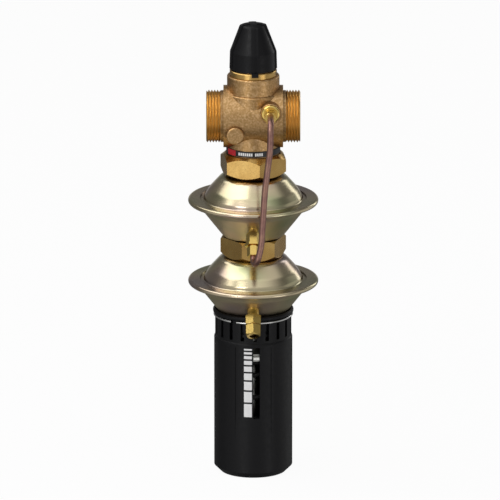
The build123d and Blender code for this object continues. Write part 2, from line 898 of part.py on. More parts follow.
def joint_connector():
    """Nipple, hexagonal body, flange and threaded nose of a housing's joint, along Z from the wall."""
    flange = joint_nipple_length + joint_body_length
    nose = joint_nose()
    end = nose + joint_nose_length
    chamfers = (joint_body_across / 2, joint_chamfer)
    part = disc(joint_nipple, -tap_inside, joint_nipple_length)
    part += hex_nut(joint_body_across, joint_nipple_length, flange, chamfers, chamfers, 0)
    part += hexagon(joint_flange_across, flange, nose)
    part += disc(nose_radius, nose, end)
    part -= disc(tube_bore, -tap_inside, end)
    return part - disc(tube_radius + fit_gap, tube_start, end)


def joint_nose():
    """Where the threaded nose of a housing's joint starts."""
    return joint_nipple_length + joint_body_length + joint_flange_height


def joint_nut(nose):
    low = nose + joint_gap
    high = low + joint_nut_length
    chamfers = (joint_nut_across / 2, joint_chamfer)
    nut = hex_nut(joint_nut_across, low, high, chamfers, chamfers, 0)
    nut -= disc(tube_radius + fit_gap, low, high)
    return nut - disc(nose_radius + fit_gap, low, low + joint_nut_bore)


def joint_ferrule(nose):
    low = nose + joint_nose_length
    high = low + ferrule_length
    inner = tube_radius + fit_gap
    outer = nose_radius
    narrow = outer - ferrule_taper / 2
    return turned((inner, low), (narrow, low), (outer, low + ferrule_taper), (outer, high), (inner, high))


def on_body(part):
    """Sets a joint on the tapped boss, pointing to the front."""
    origin = (tapped_boss[0], -tapped_boss_face, pipe + tapped_boss[1])
    return Plane(origin=origin, x_dir=(1, 0, 0), z_dir=(0, -1, 0)) * part


def body_tap_connector():
    shank = body_shank[1]
    end = shank + joint_nose_length
    flange = disc(body_flange[0], 0, body_flange[1])
    flange = fillet(flange.edges().group_by(Axis.Z)[-1], body_flange_rounding)
    part = disc(tapping_radius - fit_gap, -tapping_depth, 0) + flange
    part += disc(body_shank[0], 0, shank) + disc(nose_radius, shank, end)
    part -= disc(tube_bore, -tapping_depth, end)
    return on_body(part - disc(tube_radius + fit_gap, body_tube_depth, end))


def outer_levels():
    """Distances along the tap: end of the nipple, end of the body, end of the nut."""
    body = outer_nipple_length + outer_body_length
    return outer_nipple_length, body, body + outer_nut_length


def outer_tap_connector():
    nipple, body, mouth = outer_levels()
    chamfers = (outer_body_across / 2, outer_chamfer)
    part = disc(outer_nipple, -tap_inside, nipple)
    part += hex_nut(outer_body_across, nipple, body, chamfers, chamfers, 30)
    part += disc(outer_bore + outer_thread_wall, body, mouth - outer_thread_end)
    part -= disc(outer_channel, -tap_inside, mouth)
    return along_tap(0) * (part - disc(outer_bore, mouth - outer_bore_depth, mouth))


def outer_tap_nut():
    nipple, body, mouth = outer_levels()
    nut = hex_nut(outer_nut_across, body + outer_nut_gap, mouth, outer_mouth_chamfer, outer_back_chamfer, 30)
    nut -= disc(outer_bore + outer_thread_wall + fit_gap, body, mouth - outer_nut_seat)
    return along_tap(0) * (nut - disc(outer_bore, body, mouth))


def outer_tap_ferrule():
    low = outer_levels()[2] - outer_thread_end
    high = low + outer_thread_end - outer_nut_seat - fit_gap
    narrow, wide = outer_ferrule_wall
    ferrule = turned(
        (outer_bore, low), (outer_bore + narrow, low), (outer_bore + wide, low + wide - narrow),
        (outer_bore + wide, high), (outer_bore, high))
    return along_tap(0) * ferrule


def tube_route():
    """The tube's corners, from inside the upper housing's tap to inside the body's tap."""
    tap = along_tap(upper_shift)
    turn = tap.origin + tap_direction * route_drop
    high = pipe + tapped_boss[1]
    return [
        tap.origin + tap_direction * tube_start,
        turn,
        Vector(route_low_side, -route_front, turn.Z),
        Vector(route_rise[0], -route_rise[1], turn.Z + route_rise[2]),
        Vector(route_middle[0], -route_middle[1], pipe + route_middle[2]),
        Vector(route_high[0], -route_high[1], pipe + route_high[2]),
        Vector(tapped_boss[0], -route_bend, high),
        Vector(tapped_boss[0], -tapped_boss_face - body_tube_depth, high)]


def impulse_tube():
    path = FilletPolyline(*tube_route(), radius=route_bends)
    section = Plane(origin=path @ 0, z_dir=path % 0) * (Circle(tube_radius) - Circle(tube_bore))
    return sweep(section, path=path)


def build():
    """Every separate piece under its own name."""
    upper = along_tap(upper_shift)
    seat_groove = pipe - web_half + seat_ring_height + ring_section
    bonnet_groove = pipe + top_neck_height - bonnet_ring_depth + ring_section
    spindle_groove = spindle_levels()[0] - spindle_ring_depth + ring_section
    housing_nose = joint_nose()
    body_nose = body_shank[1]
    return {
        "valve_body": valve_body(),
        "label_band": label_band(),
        "seat_insert": seat_insert(),
        "seat_o_ring": o_ring(seat_bore, ring_section, seat_groove),
        "restrictor_bonnet": restrictor_bonnet(),
        "bonnet_o_ring": o_ring(top_bore, ring_section, bonnet_groove),
        "restrictor_spindle": restrictor_spindle(),
        "spindle_o_ring": o_ring(rod_radius + ring_section, ring_section, spindle_groove),
        "spindle_clip": spindle_clip(),
        "throttle_sleeve": throttle_sleeve(),
        "restrictor_cap": restrictor_cap(),
        "cone_seal": cone_seal(),
        "valve_cone": valve_cone(),
        "cone_nut": cone_nut(),
        "valve_stem": valve_stem(),
        "lower_stem": lower_stem(),
        "upper_coupling_nut": coupling_nut(upper_shift),
        "lower_coupling_nut": coupling_nut(0),
        "stop_sleeve": stop_sleeve(),
        "upper_plate_above": diaphragm_plate(upper_shift, True),
        "upper_plate_below": diaphragm_plate(upper_shift, False),
        "lower_plate_above": diaphragm_plate(0, True),
        "lower_plate_below": diaphragm_plate(0, False),
        "upper_diaphragm": rolling_diaphragm(upper_shift),
        "lower_diaphragm": rolling_diaphragm(0),
        "flow_spring": coil(
            flow_spring_radius, flow_spring_wire, upper_bowl_bottom + sheet,
            joint_plane + upper_shift - plate_thickness, flow_spring_turns),
        "upper_housing_cover": housing_cover(upper_shift),
        "upper_housing_bowl": tapped_bowl(upper_shift, joint_nipple),
        "lower_housing_cover": housing_cover(0),
        "lower_housing_bowl": tapped_bowl(0, outer_nipple),
        "upper_connection_neck": connection_neck(upper_shift, upper_plug, upper_plug_height),
        "lower_connection_neck": connection_neck(0, middle_plug, middle_plug_height),
        "upper_guide_bush": guide_bush(upper_shift, upper_plug_height),
        "lower_guide_bush": guide_bush(0, middle_plug_height),
        "upper_stem_seal": stem_seal(upper_shift),
        "lower_stem_seal": stem_seal(0),
        "upper_neck_gasket": neck_gasket(upper_shift, upper_plug),
        "middle_neck_gasket": neck_gasket(0, middle_plug),
        "upper_union_nut": upper_union_nut(),
        "middle_union_nut": middle_union_nut(),
        "upper_bowl_neck": upper_bowl_neck(),
        "spring_collar": spring_collar(),
        "collar_hub": collar_hub(),
        "collar_nut": collar_nut(),
        "retaining_ring": retaining_ring(),
        "setting_handle": setting_handle(),
        "thrust_washer": thrust_washer(),
        "setting_spring": setting_spring(),
        "setting_nut": setting_nut(),
        "setting_marker": setting_marker(),
        "setting_spindle": setting_spindle(),
        "housing_tap_connector": upper * joint_connector(),
        "housing_tap_nut": upper * joint_nut(housing_nose),
        "body_tap_connector": body_tap_connector(),
        "body_tap_nut": on_body(joint_nut(body_nose)),
        "outer_tap_connector": outer_tap_connector(),
        "outer_tap_nut": outer_tap_nut(),
        "outer_tap_ferrule": outer_tap_ferrule(),
        "tube_ferrules": Compound([upper * joint_ferrule(housing_nose), on_body(joint_ferrule(body_nose))]),
        "impulse_tube": impulse_tube()}


os.makedirs("parts", exist_ok=True)
for name, solid in build().items():
    export_step(solid, f"parts/{name}.step")
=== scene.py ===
import math

import bmesh
import bpy
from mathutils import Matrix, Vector
from mathutils.bvhtree import BVHTree


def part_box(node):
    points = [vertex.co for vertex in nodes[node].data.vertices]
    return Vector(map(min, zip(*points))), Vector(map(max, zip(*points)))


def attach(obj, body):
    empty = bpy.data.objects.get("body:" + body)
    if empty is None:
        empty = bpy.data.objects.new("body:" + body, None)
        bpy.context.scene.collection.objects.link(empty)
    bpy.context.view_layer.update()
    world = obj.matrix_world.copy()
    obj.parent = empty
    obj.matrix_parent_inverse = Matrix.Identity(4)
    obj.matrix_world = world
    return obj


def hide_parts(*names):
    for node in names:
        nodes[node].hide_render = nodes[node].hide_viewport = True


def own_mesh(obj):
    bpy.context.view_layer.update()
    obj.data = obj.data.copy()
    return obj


# The looks of a differential pressure regulator: a finish for every piece, threads on the ports, coil
# springs, diaphragm loops, ribs on the cap, print on the band and a scale on the handle.
# Metres, +Z up, the front is -Y.

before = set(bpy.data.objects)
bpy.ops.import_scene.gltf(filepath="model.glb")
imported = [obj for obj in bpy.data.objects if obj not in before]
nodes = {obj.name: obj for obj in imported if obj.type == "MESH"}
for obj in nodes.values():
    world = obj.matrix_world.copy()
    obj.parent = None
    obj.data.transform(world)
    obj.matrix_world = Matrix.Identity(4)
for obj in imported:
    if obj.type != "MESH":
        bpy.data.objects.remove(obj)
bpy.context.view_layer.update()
MM = 0.001

# The photograph's view: a long lens, a little above the part
VIEW_ELEVATION = math.radians(16)
VIEW_DISTANCE = 12.0
VIEW_WIDTH = 0.3995
VIEW_TARGET = Vector((-0.0026, 0.0, 0.1822))
SENSOR_WIDTH = 36.0

# Light from around the part. Each pair is where a light begins and where it is full,
# as the up or the back component of the direction that it comes from.
ROOM_LIGHT = 0.14
CEILING_LIGHT = 0.5
CEILING_UP = (0.55, 0.8)
CEILING_BACK = (0.35, 0.0)
BACKDROP_LIGHT = 0.35
BACKDROP_UP = (0.22, 0.1)
BACKDROP_BACK = (0.93, 0.985)
POOLS_UP = (-0.8, -0.45)

# Pools of light: azimuth (0 is the front, + is right), elevation, reach and strength
POOLS = (
    (-10, -8, 100, 0.42),
    (-29, -16, 15, 1.3),
    (48, -16, 13, 1.3),
    (105, -10, 40, 0.35))

# Lamps: azimuth, elevation, distance, width and height, and power
LAMPS = {
    "key_box": (-97, 60, 1.3, (1.5, 1.1), 8),
    "side_box": (138, 15, 1.5, (0.3, 1.0), 1.5),
    "front_box": (-30, 30, 1.8, (0.6, 0.6), 5)}

FLOOR_RADIUS = 6
FLOOR_SIDES = 96
FLOOR_PAINT = (0.8, 0.8, 0.8, 1)
FLOOR_ROUGHNESS = 0.9
FLOOR_GLOW = 0.95

# Materials: the range that a noise fills, the openness at which painted shade is deepest and at which it
# ends, and how far down a surface faces where it begins to be dull and where it is dullest
NOISE_LOW = 0.3
NOISE_HIGH = 0.7
FULL_SHADE = 0.35
NO_SHADE = 0.8
DULL_START = -0.1
DULL_END = -0.5

# Pipe threads, G 1 1/4; the flat is the crest's and the root's share of the pitch
PIPE_ABOVE_FOOT = 41 * MM
PIPE_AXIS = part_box("valve_body")[0].z + PIPE_ABOVE_FOOT
SHOULDER_RADIUS = 20.8 * MM
THREAD_START = 26.0 * MM
THREAD_END = 37.5 * MM
THREAD_CREST = 20.955 * MM
THREAD_DEPTH = 1.48 * MM
THREAD_PITCH = 2.309 * MM
THREAD_FLAT = 0.1
THREAD_LEAD_IN = 1.0 * MM
THREAD_SLEEVE = 19.0 * MM
THREAD_SIDES = 160
THREAD_STEPS = 14
TOLERANCE = 0.002 * MM

# Springs, whose end turns lie flat: the coil's radius, the wire's radius and the turns
SETTING_COIL = (20 * MM, 2 * MM, 6)
FLOW_COIL = (20.5 * MM, 1.5 * MM, 4)
SPRING_STEPS = 56
SPRING_SIDES = 16
FLAT_TURNS = 0.8

# Rubber diaphragms
RUBBER = 1.0 * MM
ROD_HOLE = 4.1 * MM
PLATE_EDGE = 30.2 * MM
LOOP_INNER = 30.9 * MM
LOOP_RADIUS = 4.0 * MM
LOOP_STEPS = 16

LATHE_SIDES = 128
SHARP_ANGLE = math.radians(32)

# Scale on the handle: nine bars that grow downwards
BAR_LEFT = -7.4 * MM
BAR_RIGHT = -1.1 * MM
BAR_TOP = 108.7 * MM
BAR_COUNT = 9
BAR_FIRST_PITCH = 2.7 * MM
BAR_GROWTH = 1.208
BAR_GAP = 1.4 * MM
PANEL_RADIUS = 30.8 * MM
PANEL_FULL = 60.0 * MM
PANEL_FADE = 27.3 * MM
HANDLE_RADIUS = 31.3 * MM

# Cap over the restrictor: its ribs, and the tab under its front rib
BLACK = (0.045, 0.045, 0.055)
CAP_TURN = math.radians(4)
CAP_RIBS = 4
RIDGES = ((-2.3 * MM, -0.3 * MM), (1.3 * MM, 3.0 * MM))
RIB_HEIGHT = 0.4 * MM
RIB_ROOT = 0.2 * MM
RIB_ABOVE_EDGE = 0.6 * MM
RIB_BELOW_TOP = 1.5 * MM
RIB_ROWS = 40
TAB_RADIUS = 20.0 * MM
TAB_HEIGHT = 2.4 * MM
TAB_LEFT = -1.3 * MM
TAB_RIGHT = 4.2 * MM
TAB_OVERLAP = 1.0 * MM

# Print on the band under the body: a red field, and dashes with one left out, as between two words
BAND_RED_LEFT = -20.0 * MM
BAND_RED_RIGHT = -14.0 * MM
DASH_LEFT = -11.8 * MM
DASH_PITCH = 1.65 * MM
DASH_WIDTH = 1.25 * MM
DASH_COUNT = 12
DASH_LEFT_OUT = 7
DASH_MARGIN = 1.1 * MM

# How far a print or a bar stands out of its surface, and goes into it
PRINT_LIFT = 0.04 * MM


# Camera, floor and light

def photograph_camera():
    """The photograph's view."""
    lens = bpy.data.cameras.new("photograph")
    lens.sensor_width = SENSOR_WIDTH
    lens.lens = SENSOR_WIDTH * VIEW_DISTANCE / VIEW_WIDTH
    lens.clip_end = 2 * VIEW_DISTANCE
    camera = bpy.data.objects.new("photograph", lens)
    bpy.context.scene.collection.objects.link(camera)
    back = Vector((0, -math.cos(VIEW_ELEVATION), math.sin(VIEW_ELEVATION)))
    camera.location = VIEW_TARGET + VIEW_DISTANCE * back
    camera.rotation_euler = (math.pi / 2 - VIEW_ELEVATION, 0, 0)
    bpy.context.scene.camera = camera


def toward(azimuth, elevation):
    """The direction to a place around the part, in degrees; azimuth 0 is the front, + is right."""
    turn, rise = math.radians(azimuth), math.radians(elevation)
    return Vector((math.sin(turn) * math.cos(rise), -math.cos(turn) * math.cos(rise), math.sin(rise)))


def soft_box(name, azimuth, elevation, distance, size, power):
    """A rectangular lamp that points at the middle of the part."""
    lamp = bpy.data.lights.new(name, "AREA")
    lamp.shape = "RECTANGLE"
    lamp.size, lamp.size_y = size
    lamp.energy = power
    box = bpy.data.objects.new(name, lamp)
    bpy.context.scene.collection.objects.link(box)
    way = toward(azimuth, elevation)
    box.location = VIEW_TARGET + distance * way
    box.rotation_euler = way.to_track_quat("Z", "Y").to_euler()
    box.visible_camera = False


def add(tree, kind, **values):
    """A new shader node; the values set its properties or its input sockets."""
    made = tree.nodes.new("ShaderNode" + kind)
    for key, value in values.items():
        label = key.replace("_", " ")
        if label in made.inputs:
            made.inputs[label].default_value = value
        else:
            setattr(made, key, value)
    return made


def join(tree, operation, first, second):
    """A sum or product of two values."""
    made = add(tree, "Math", operation=operation)
    tree.links.new(first, made.inputs[0])
    tree.links.new(second, made.inputs[1])
    return made.outputs[0]


def step(tree, source, start, end, high=1.0):
    """A smooth step of a value, from 0 before start to high after end."""
    made = add(tree, "MapRange", From_Min=start, From_Max=end, To_Min=0.0, To_Max=high)
    made.interpolation_type = "SMOOTHSTEP"
    tree.links.new(source, made.inputs["Value"])
    return made.outputs[0]


def pool(tree, way, azimuth, elevation, reach, strength):
    """A round pool of light in the studio's wall, soft towards its edge."""
    near = add(tree, "VectorMath", operation="DOT_PRODUCT")
    near.inputs[1].default_value = toward(azimuth, elevation)
    tree.links.new(way, near.inputs[0])
    edge, middle = math.cos(math.radians(reach)), math.cos(math.radians(reach) / 2)
    return step(tree, near.outputs["Value"], edge, middle, high=strength)


def studio_world():
    """White for the camera. Around the part a dim room with a brighter ceiling, backdrop and pools."""
    world = bpy.data.worlds.new("studio")
    bpy.context.scene.world = world
    world.use_nodes = True
    tree = world.node_tree
    way = add(tree, "TexCoord").outputs["Generated"]
    axes = add(tree, "SeparateXYZ")
    tree.links.new(way, axes.inputs[0])
    back, up = axes.outputs["Y"], axes.outputs["Z"]
    ceiling = join(
        tree, "MULTIPLY",
        step(tree, up, *CEILING_UP), step(tree, back, *CEILING_BACK, high=CEILING_LIGHT))
    backdrop = join(
        tree, "MULTIPLY",
        step(tree, up, *BACKDROP_UP), step(tree, back, *BACKDROP_BACK, high=BACKDROP_LIGHT))
    room = add(tree, "Value").outputs[0]
    room.default_value = ROOM_LIGHT
    above_floor = step(tree, up, *POOLS_UP)
    pools = [join(tree, "MULTIPLY", above_floor, pool(tree, way, *values)) for values in POOLS]
    for light in (ceiling, backdrop, *pools):
        room = join(tree, "ADD", room, light)
    seen = add(tree, "MapRange", To_Max=1.0)
    tree.links.new(add(tree, "LightPath").outputs["Is Camera Ray"], seen.inputs["Value"])
    tree.links.new(room, seen.inputs["To Min"])
    tree.links.new(seen.outputs[0], tree.nodes["Background"].inputs["Strength"])
    tree.nodes["Background"].inputs["Color"].default_value = (1, 1, 1, 1)


def studio_floor():
    """A pale floor that keeps a soft shadow and fades into the white behind."""
    bpy.ops.mesh.primitive_circle_add(vertices=FLOOR_SIDES, radius=FLOOR_RADIUS, fill_type="NGON")
    floor = bpy.context.object
    floor.name = "floor"
    made = bpy.data.materials.new("floor_paint")
    made.use_nodes = True
    tree = made.node_tree
    paint = tree.nodes["Principled BSDF"]
    paint.inputs["Base Color"].default_value = FLOOR_PAINT
    paint.inputs["Roughness"].default_value = FLOOR_ROUGHNESS
    glow = add(tree, "Emission", Strength=1.0)
    share = add(tree, "MapRange", To_Min=0.0, To_Max=FLOOR_GLOW)
    tree.links.new(add(tree, "LightPath").outputs["Is Camera Ray"], share.inputs["Value"])
    mix = add(tree, "MixShader")
    tree.links.new(share.outputs[0], mix.inputs[0])
    tree.links.new(paint.outputs[0], mix.inputs[1])
    tree.links.new(glow.outputs[0], mix.inputs[2])
    tree.links.new(mix.outputs[0], tree.nodes["Material Output"].inputs["Surface"])
    floor.data.materials.append(made)
    floor.visible_glossy = False


# Materials

def tint(red, green, blue):
    """A colour as it looks on a screen, 0 to 1, as the linear colour that a shader takes."""
    linear = [((c + 0.055) / 1.055) ** 2.4 if c > 0.04045 else c / 12.92 for c in (red, green, blue)]
    return (*linear, 1)


def finish(name, color, roughness, metallic=0.0):
    """A material of one colour."""
    made = bpy.data.materials.new(name)
    made.use_nodes = True
    shader = made.node_tree.nodes["Principled BSDF"]
    shader.inputs["Base Color"].default_value = tint(*color)
    shader.inputs["Roughness"].default_value = roughness
    shader.inputs["Metallic"].default_value = metallic
    return made


def noise(made, scale, detail=3.0, stretch=(1, 1, 1)):
    """Noise in the piece's own coordinates; scale counts its features in a metre."""
    tree = made.node_tree
    mapping = add(tree, "Mapping")
    mapping.inputs["Scale"].default_value = stretch
    tree.links.new(add(tree, "TexCoord").outputs["Object"], mapping.inputs["Vector"])
    texture = add(tree, "TexNoise", Scale=scale, Detail=detail)
    tree.links.new(mapping.outputs[0], texture.inputs["Vector"])
    return texture.outputs["Fac"]


def blotches(made, colors, scale, detail=3.0, stretch=(1, 1, 1)):
    """The base colour wanders between several colours."""
    tree = made.node_tree
    ramp = add(tree, "ValToRGB")
    stops = ramp.color_ramp.elements
    while len(stops) < len(colors):
        stops.new(0.5)
    for index, color in enumerate(colors):
        stops[index].position = NOISE_LOW + (NOISE_HIGH - NOISE_LOW) * index / (len(colors) - 1)
        stops[index].color = tint(*color)
    tree.links.new(noise(made, scale, detail, stretch), ramp.inputs["Fac"])
    tree.links.new(ramp.outputs["Color"], tree.nodes["Principled BSDF"].inputs["Base Color"])


def uneven_gloss(made, scale, smooth, rough):
    """The roughness wanders between two values."""
    tree = made.node_tree
    gloss = add(tree, "MapRange", From_Min=NOISE_LOW, From_Max=NOISE_HIGH, To_Min=smooth, To_Max=rough)
    tree.links.new(noise(made, scale), gloss.inputs["Value"])
    tree.links.new(gloss.outputs[0], tree.nodes["Principled BSDF"].inputs["Roughness"])


def relief(made, scale, height, detail=3.0, stretch=(1, 1, 1)):
    """A bump over the ones that the material already has."""
    tree = made.node_tree
    normal = tree.nodes["Principled BSDF"].inputs["Normal"]
    bump = add(tree, "Bump", Strength=1.0, Distance=height)
    tree.links.new(noise(made, scale, detail, stretch), bump.inputs["Height"])
    if normal.links:
        tree.links.new(normal.links[0].from_socket, bump.inputs["Normal"])
    tree.links.new(bump.outputs["Normal"], normal)


def painted_shade(made, reach, least):
    """Painted shade: darkens the base colour in corners and grooves, from ambient occlusion."""
    tree = made.node_tree
    color = tree.nodes["Principled BSDF"].inputs["Base Color"]
    corners = add(tree, "AmbientOcclusion", Distance=reach)
    depth = add(tree, "MapRange", From_Min=FULL_SHADE, From_Max=NO_SHADE, To_Min=least)
    tree.links.new(corners.outputs["AO"], depth.inputs["Value"])
    mix = add(tree, "VectorMath", operation="SCALE")
    tree.links.new(color.links[0].from_socket, mix.inputs[0])
    tree.links.new(depth.outputs[0], mix.inputs["Scale"])
    tree.links.new(mix.outputs[0], color)


def dull_below(made, extra):
    """Makes what faces down rougher, as the undersides of pressed shells are."""
    tree = made.node_tree
    roughness = tree.nodes["Principled BSDF"].inputs["Roughness"]
    axes = add(tree, "SeparateXYZ")
    tree.links.new(add(tree, "NewGeometry").outputs["Normal"], axes.inputs[0])
    below = step(tree, axes.outputs["Z"], DULL_START, DULL_END, high=extra)
    tree.links.new(join(tree, "ADD", roughness.links[0].from_socket, below), roughness)


def cast_bronze():
    made = finish("cast_bronze", (0.74, 0.60, 0.42), 0.4, 1.0)
    blotches(made, [(0.66, 0.52, 0.33), (0.74, 0.59, 0.40), (0.84, 0.70, 0.52)], 650, 4.0)
    uneven_gloss(made, 420, 0.30, 0.44)
    relief(made, 900, 0.16 * MM)
    relief(made, 2200, 0.07 * MM)
    # Painted shade in the casting's corners and grooves
    painted_shade(made, 5 * MM, 0.45)
    return made


def machined_bronze():
    made = finish("machined_bronze", (0.89, 0.73, 0.45), 0.34, 1.0)
    uneven_gloss(made, 900, 0.30, 0.38)
    return made


def nut_brass():
    made = finish("nut_brass", (0.78, 0.64, 0.38), 0.24, 1.0)
    blotches(made, [(0.73, 0.58, 0.33), (0.81, 0.67, 0.41)], 60)
    uneven_gloss(made, 700, 0.2, 0.3)
    relief(made, 220, 0.006 * MM, stretch=(1, 1, 12))
    # Painted shade in the nuts' corners
    painted_shade(made, 4 * MM, 0.8)
    return made


def fitting_brass():
    made = finish("fitting_brass", (0.90, 0.77, 0.44), 0.16, 1.0)
    uneven_gloss(made, 900, 0.12, 0.22)
    return made


def yellow_zinc():
    """Passivated zinc: silvery beige with faint green, pink and violet clouds."""
    made = finish("yellow_zinc", (0.80, 0.75, 0.62), 0.2, 1.0)
    clouds = [
        (0.73, 0.74, 0.58), (0.81, 0.77, 0.63), (0.85, 0.79, 0.66), (0.81, 0.73, 0.65), (0.74, 0.68, 0.65)]
    blotches(made, clouds, 22, 1.0, (1, 1, 2.2))
    uneven_gloss(made, 90, 0.19, 0.24)
    dull_below(made, 0.22)
    # Painted shade and painted reflection: a wide reach darkens the shells near the nuts
    painted_shade(made, 22 * MM, 0.4)
    return made


def copper_tube():
    made = finish("copper_tube", (0.60, 0.45, 0.42), 0.4, 1.0)
    blotches(made, [(0.54, 0.40, 0.38), (0.62, 0.47, 0.43), (0.68, 0.53, 0.46)], 140)
    uneven_gloss(made, 800, 0.34, 0.46)
    return made


def black_plastic():
    made = finish("black_plastic", BLACK, 0.42)
    made.node_tree.nodes["Principled BSDF"].inputs["Specular IOR Level"].default_value = 0.22
    uneven_gloss(made, 300, 0.38, 0.48)
    relief(made, 4200, 0.012 * MM)
    return made


def plain(name, color, roughness, metallic, grain):
    """A simple finish with a faint grain."""
    made = finish(name, color, roughness, metallic)
    uneven_gloss(made, 700, roughness - 0.05, roughness + 0.07)
    relief(made, 2500, grain)
    return made


def finishes():
    """One material for each slot of the record."""
    return {
        "cast_bronze": cast_bronze(),
        "nut_brass": nut_brass(),
        "fitting_brass": fitting_brass(),
        "yellow_zinc": yellow_zinc(),
        "copper_tube": copper_tube(),
        "black_plastic": black_plastic(),
        "band_black": plain("band_black", (0.08, 0.08, 0.09), 0.4, 0.0, 0.004 * MM),
        "bright_wire": plain("bright_wire", (0.85, 0.85, 0.84), 0.18, 1.0, 0.002 * MM),
        "white_plastic": plain("white_plastic", (0.92, 0.92, 0.9), 0.4, 0.0, 0.004 * MM),
        "black_steel": plain("black_steel", (0.16, 0.16, 0.16), 0.45, 0.6, 0.006 * MM),
        "plain_steel": plain("plain_steel", (0.70, 0.70, 0.68), 0.32, 1.0, 0.004 * MM),
        "seal_rubber": plain("seal_rubber", (0.10, 0.10, 0.10), 0.6, 0.0, 0.008 * MM),
        "bush_plastic": plain("bush_plastic", (0.80, 0.78, 0.70), 0.45, 0.0, 0.004 * MM)}


# Meshes

def mesh_piece(name, work, material, body):
    """Ends a bmesh as an object that rides on a body and is smooth between its sharp edges."""
    bmesh.ops.recalc_face_normals(work, faces=work.faces)
    mesh = bpy.data.meshes.new(name)
    work.to_mesh(mesh)
    work.free()
    mesh.shade_smooth()
    mesh.set_sharp_from_angle(angle=SHARP_ANGLE)
    mesh.materials.append(material)
    piece = bpy.data.objects.new(name, mesh)
    bpy.context.scene.collection.objects.link(piece)
    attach(piece, body)
    return piece


def join_rings(work, rings):
    """Quads between each ring of vertices and the next; the last ring joins the first."""
    count = len(rings[0])
    for here, there in zip(rings, rings[1:] + rings[:1]):
        for index in range(count):
            after = (index + 1) % count
            work.faces.new((here[index], here[after], there[after], there[index]))


def lathe(name, outline, material, body):
    """A ring turned about Z from a closed outline of (radius, height)."""
    work = bmesh.new()
    rings = []
    for radius, height in outline:
        turns = [2 * math.pi * side / LATHE_SIDES for side in range(LATHE_SIDES)]
        rings.append([work.verts.new((radius * math.cos(t), radius * math.sin(t), height)) for t in turns])
    join_rings(work, rings)
    return mesh_piece(name, work, material, body)


def cast_body():
    """The cast body, with its thread cylinders turned down to the thread's root."""
    mesh = nodes["valve_body"].data.copy()
    root = THREAD_CREST - THREAD_DEPTH
    for vert in mesh.vertices:
        arm = Vector((0, vert.co.y, vert.co.z - PIPE_AXIS))
        beyond = abs(vert.co.x) - THREAD_START
        if beyond > -TOLERANCE and arm.length > (SHOULDER_RADIUS if beyond < TOLERANCE else root):
            arm *= root / arm.length
            vert.co = Vector((vert.co.x, arm.y, PIPE_AXIS + arm.z))
    piece = bpy.data.objects.new("cast_body", mesh)
    bpy.context.scene.collection.objects.link(piece)
    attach(piece, "valve")
    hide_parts("valve_body")


def thread_radius(across, turn):
    """The V thread's radius at a place along the pipe and a turn about it."""
    phase = (across / THREAD_PITCH - turn / (2 * math.pi)) % 1
    flank = min(max((abs(2 * phase - 1) - THREAD_FLAT) / (1 - 2 * THREAD_FLAT), 0), 1)
    end = min(abs(across) - THREAD_START, THREAD_END - abs(across))
    lead = max(THREAD_LEAD_IN - end, 0)
    return max(THREAD_CREST - max(THREAD_DEPTH * flank, lead), THREAD_CREST - THREAD_DEPTH)


def pipe_thread(side, material):
    """One port's thread, a helical V on a thin sleeve."""
    work = bmesh.new()
    rows = round((THREAD_END - THREAD_START) / THREAD_PITCH * THREAD_STEPS)
    turns = [2 * math.pi * number / THREAD_SIDES for number in range(THREAD_SIDES)]
    rings = []
    for row in [0, *range(rows + 1), rows]:
        across = side * (THREAD_START + (THREAD_END - THREAD_START) * row / rows)
        inner = len(rings) in (0, rows + 2)
        ring = []
        for turn in turns:
            radius = THREAD_SLEEVE if inner else thread_radius(across, turn)
            place = (across, radius * math.cos(turn), PIPE_AXIS + radius * math.sin(turn))
            ring.append(work.verts.new(place))
        rings.append(ring)
    join_rings(work, rings)
    mesh_piece("left_thread" if side < 0 else "right_thread", work, material, "valve")


def spring(name, node, coil, looks, slot, body):
    """A coil spring with flat end turns, as high as the node that it replaces."""
    radius, wire, turns = coil
    low, high = (corner.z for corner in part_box(node))
    work = bmesh.new()
    rings = []
    steps = round(turns * SPRING_STEPS)
    rise = high - low - 2 * wire
    flat_rise = FLAT_TURNS * 2 * wire
    for number in range(steps + 1):
        turned = turns * number / steps
        to_end = min(turned, turns - turned)
        if to_end < FLAT_TURNS:
            height = 2 * wire * to_end
        else:
            height = flat_rise + (to_end - FLAT_TURNS) * (rise / 2 - flat_rise) / (turns / 2 - FLAT_TURNS)
        middle = low + wire + (height if turned <= turns / 2 else rise - height)
        angle = 2 * math.pi * turned
        ring = []
        for side in range(SPRING_SIDES):
            round_wire = 2 * math.pi * side / SPRING_SIDES
            out = radius + wire * math.cos(round_wire)
            up = middle + wire * math.sin(round_wire)
            ring.append(work.verts.new((out * math.cos(angle), out * math.sin(angle), up)))
        rings.append(ring)
    for here, there in zip(rings, rings[1:]):
        for side in range(SPRING_SIDES):
            after = (side + 1) % SPRING_SIDES
            work.faces.new((here[side], here[after], there[after], there[side]))
    work.faces.new(rings[0])
    work.faces.new(rings[-1])
    piece = mesh_piece(name, work, looks[slot], body)
    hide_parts(node)
    return piece, low, high


def diaphragm(node, looks):
    """A clamped rubber ring with its rolled loop, and the middle that moves with the plates."""
    low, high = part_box(node)
    level = high.z - RUBBER
    outer = high.x
    middle = LOOP_INNER + LOOP_RADIUS
    arc = [math.pi * number / LOOP_STEPS for number in range(LOOP_STEPS + 1)]
    under = [(middle - LOOP_RADIUS * math.cos(t), level - LOOP_RADIUS * math.sin(t)) for t in arc]
    thin = LOOP_RADIUS - RUBBER
    over = [(middle + thin * math.cos(t), level - thin * math.sin(t)) for t in arc]
    outline = under + [(outer, level), (outer, level + RUBBER), (middle + thin, level + RUBBER)] + over
    outline += [(LOOP_INNER + RUBBER, level + RUBBER), (LOOP_INNER, level + RUBBER)]
    clamped = lathe(node + "_loop", outline, looks["seal_rubber"], "valve")
    disc = [(ROD_HOLE, level), (PLATE_EDGE, level), (PLATE_EDGE, level + RUBBER), (ROD_HOLE, level + RUBBER)]
    lathe(node + "_middle", disc, looks["seal_rubber"], "stem")
    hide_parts(node)


